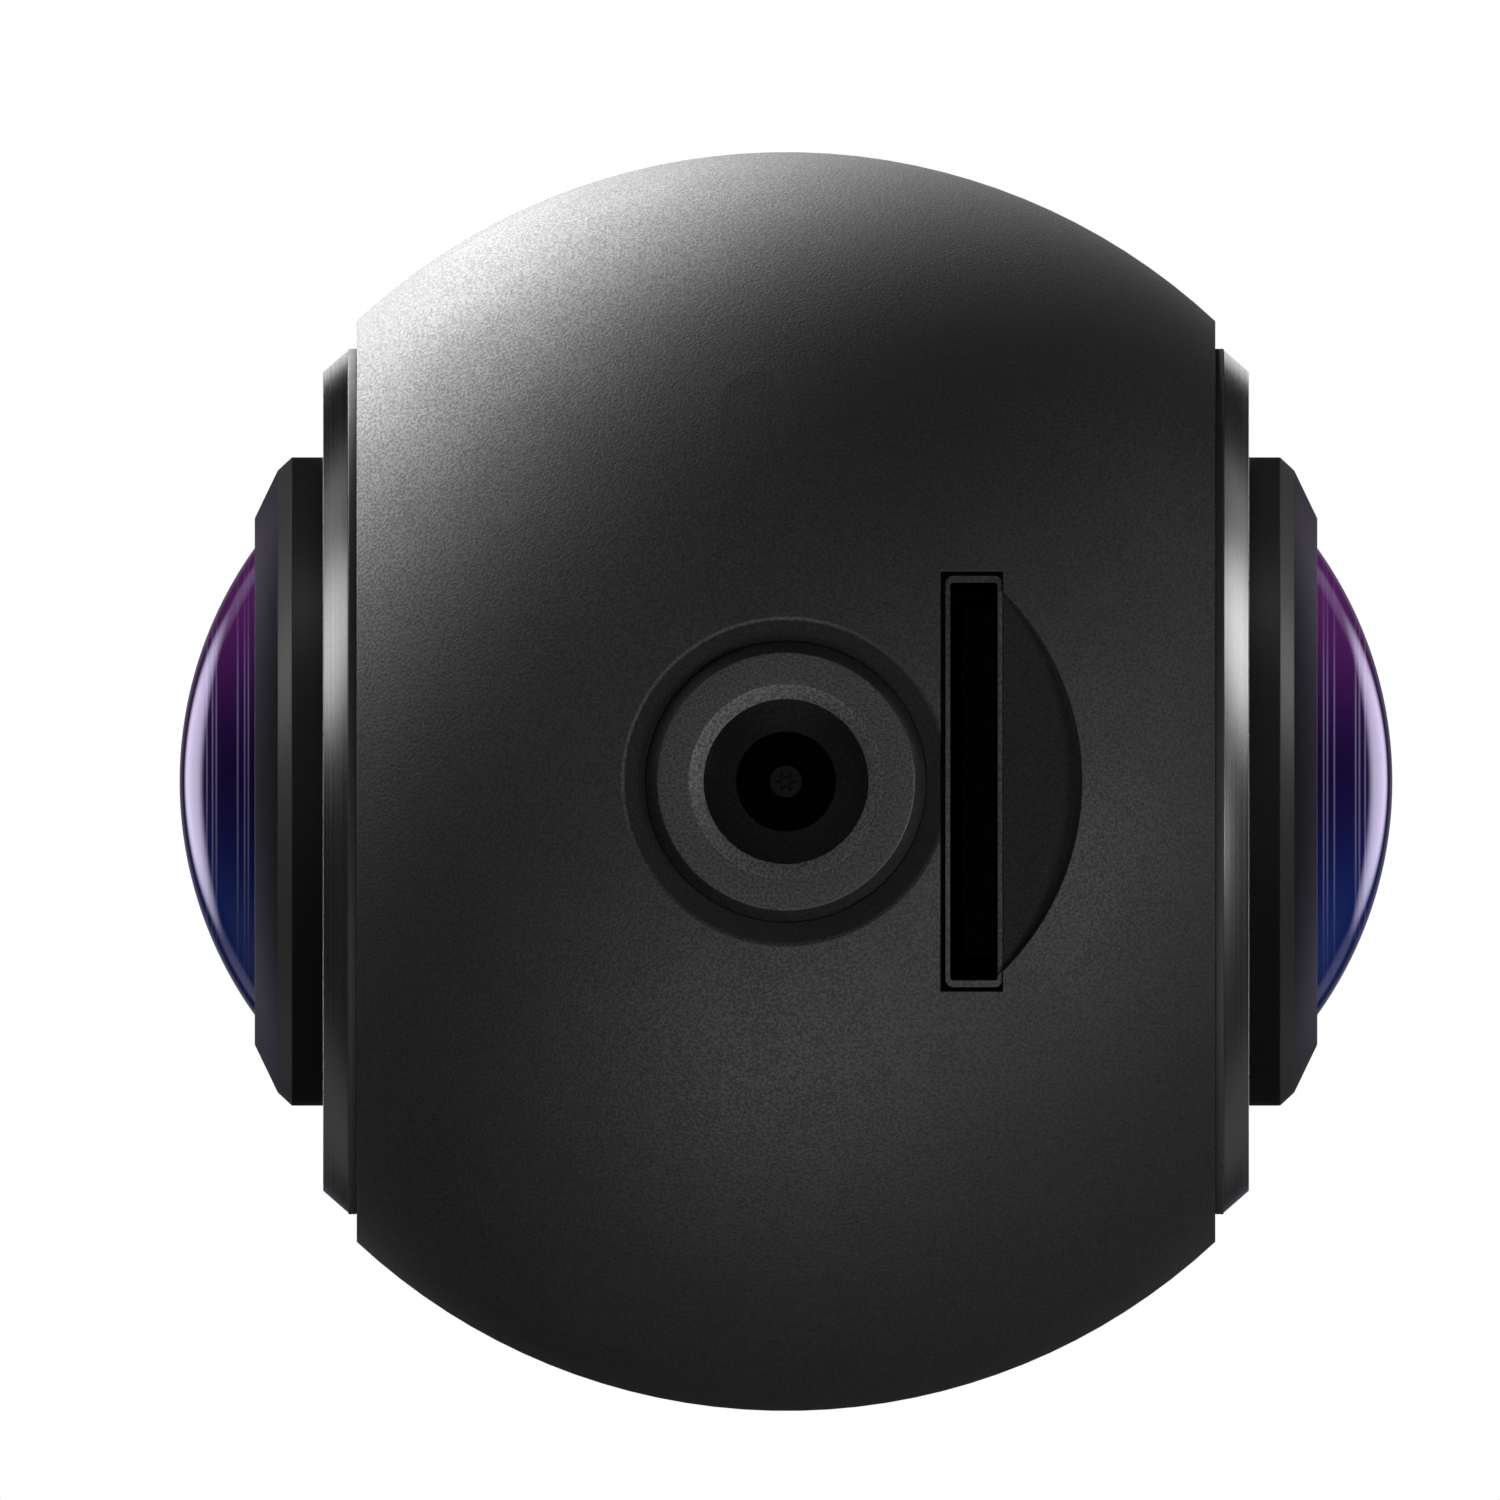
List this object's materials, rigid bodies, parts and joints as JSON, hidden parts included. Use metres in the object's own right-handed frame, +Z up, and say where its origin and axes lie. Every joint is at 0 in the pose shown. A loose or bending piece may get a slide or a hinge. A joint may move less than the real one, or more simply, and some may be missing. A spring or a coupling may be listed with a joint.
{
  "type": "360 degree camera",
  "caption": "Ball-shaped 360 degree camera with two back-to-back fisheye lens modules on side flats, a tripod socket and card slot underneath and a shutter button on top.",
  "frame": {"origin": "centre of the tripod socket's face, on which the camera stands", "axes": "+Z up, out of the shutter button; X along the axis of the two lenses, with the card slot on +X; +Y towards the USB socket"},
  "size_m": [0.0386, 0.04, 0.0393],
  "materials": {
    "shell_paint": "satin black paint with a fine grain",
    "button_paint": "satin black, slightly smoother than the shell",
    "insert_metal": "black coated metal with a bare machined chamfer",
    "steel": "plain steel",
    "frame_plastic": "black plastic",
    "card_plastic": "moulded black plastic",
    "gasket_rubber": "black rubber",
    "ring_metal": "turned bright metal",
    "barrel_black": "black anodised",
    "dome_glass": "polished glass with a violet coating",
    "lens_glass": "polished coated glass",
    "filter_glass": "blue-green filter glass",
    "black_plastic": "glass-filled black plastic",
    "circuit_board": "green solder mask",
    "chip_black": "moulded chip package",
    "heat_metal": "rolled sheet",
    "battery_wrap": "foil pouch",
    "flex_film": "amber flexible circuit",
    "light_plastic": "translucent plastic"
  },
  "bodies": {
    "camera": {"battery": "battery_wrap", "battery_lead": "flex_film", "board_chips": "chip_black", "board_screws": "steel", "button_board": "circuit_board", "button_board_screws": "steel", "button_switch": "chip_black", "card_socket": "steel", "chassis": "black_plastic", "chassis_screws": "steel", "ejector_spring": "steel", "heat_spreader": "heat_metal", "insert_screw": "steel", "left_aperture_stop": "barrel_black", "left_barrel_seal": "gasket_rubber", "left_flange_screws": "steel", "left_front_lens": "dome_glass", "left_image_sensor": "chip_black", "left_ir_filter": "filter_glass", "left_lens_barrel": "barrel_black", "left_lens_rings": "barrel_black", "left_rear_lens": "lens_glass", "left_ring_gasket": "gasket_rubber", "left_second_lens": "lens_glass", "left_sensor_board": "circuit_board", "left_sensor_flex": "flex_film", "left_sensor_holder": "black_plastic", "left_third_lens": "lens_glass", "left_trim_ring": "ring_metal", "light_pipe": "light_plastic", "main_board": "circuit_board", "microphone": "card_plastic", "processor": "chip_black", "right_aperture_stop": "barrel_black", "right_barrel_seal": "gasket_rubber", "right_flange_screws": "steel", "right_front_lens": "dome_glass", "right_image_sensor": "chip_black", "right_ir_filter": "filter_glass", "right_lens_barrel": "barrel_black", "right_lens_rings": "barrel_black", "right_rear_lens": "lens_glass", "right_ring_gasket": "gasket_rubber", "right_second_lens": "lens_glass", "right_sensor_board": "circuit_board", "right_sensor_flex": "flex_film", "right_sensor_holder": "black_plastic", "right_third_lens": "lens_glass", "right_trim_ring": "ring_metal", "shell_lower": "shell_paint", "shell_upper": "shell_paint", "slot_frame": "frame_plastic", "status_led": "light_plastic", "tripod_insert": "insert_metal", "usb_board": "circuit_board", "usb_socket": "steel"},
    "button": {"shutter_button": "button_paint"},
    "slider": {"card_ejector": "frame_plastic"},
    "card": {"memory_card": "card_plastic"}
  },
  "joints": [
    {"name": "button_press", "type": "slide", "parent": "camera", "child": "button", "axis": [0, 0, -1], "range_m": [0, 0.0003], "stiffness_N_per_m": 1500, "springref_m": -0.0003},
    {"name": "card_eject", "type": "slide", "parent": "camera", "child": "slider", "axis": [0, 0, -1], "range_m": [-0.0006, 0.0028], "deforming": ["ejector_spring"]},
    {"name": "card_pull", "type": "slide", "parent": "slider", "child": "card", "axis": [0, 0, -1], "range_m": [0, 0.016]}
  ]
}
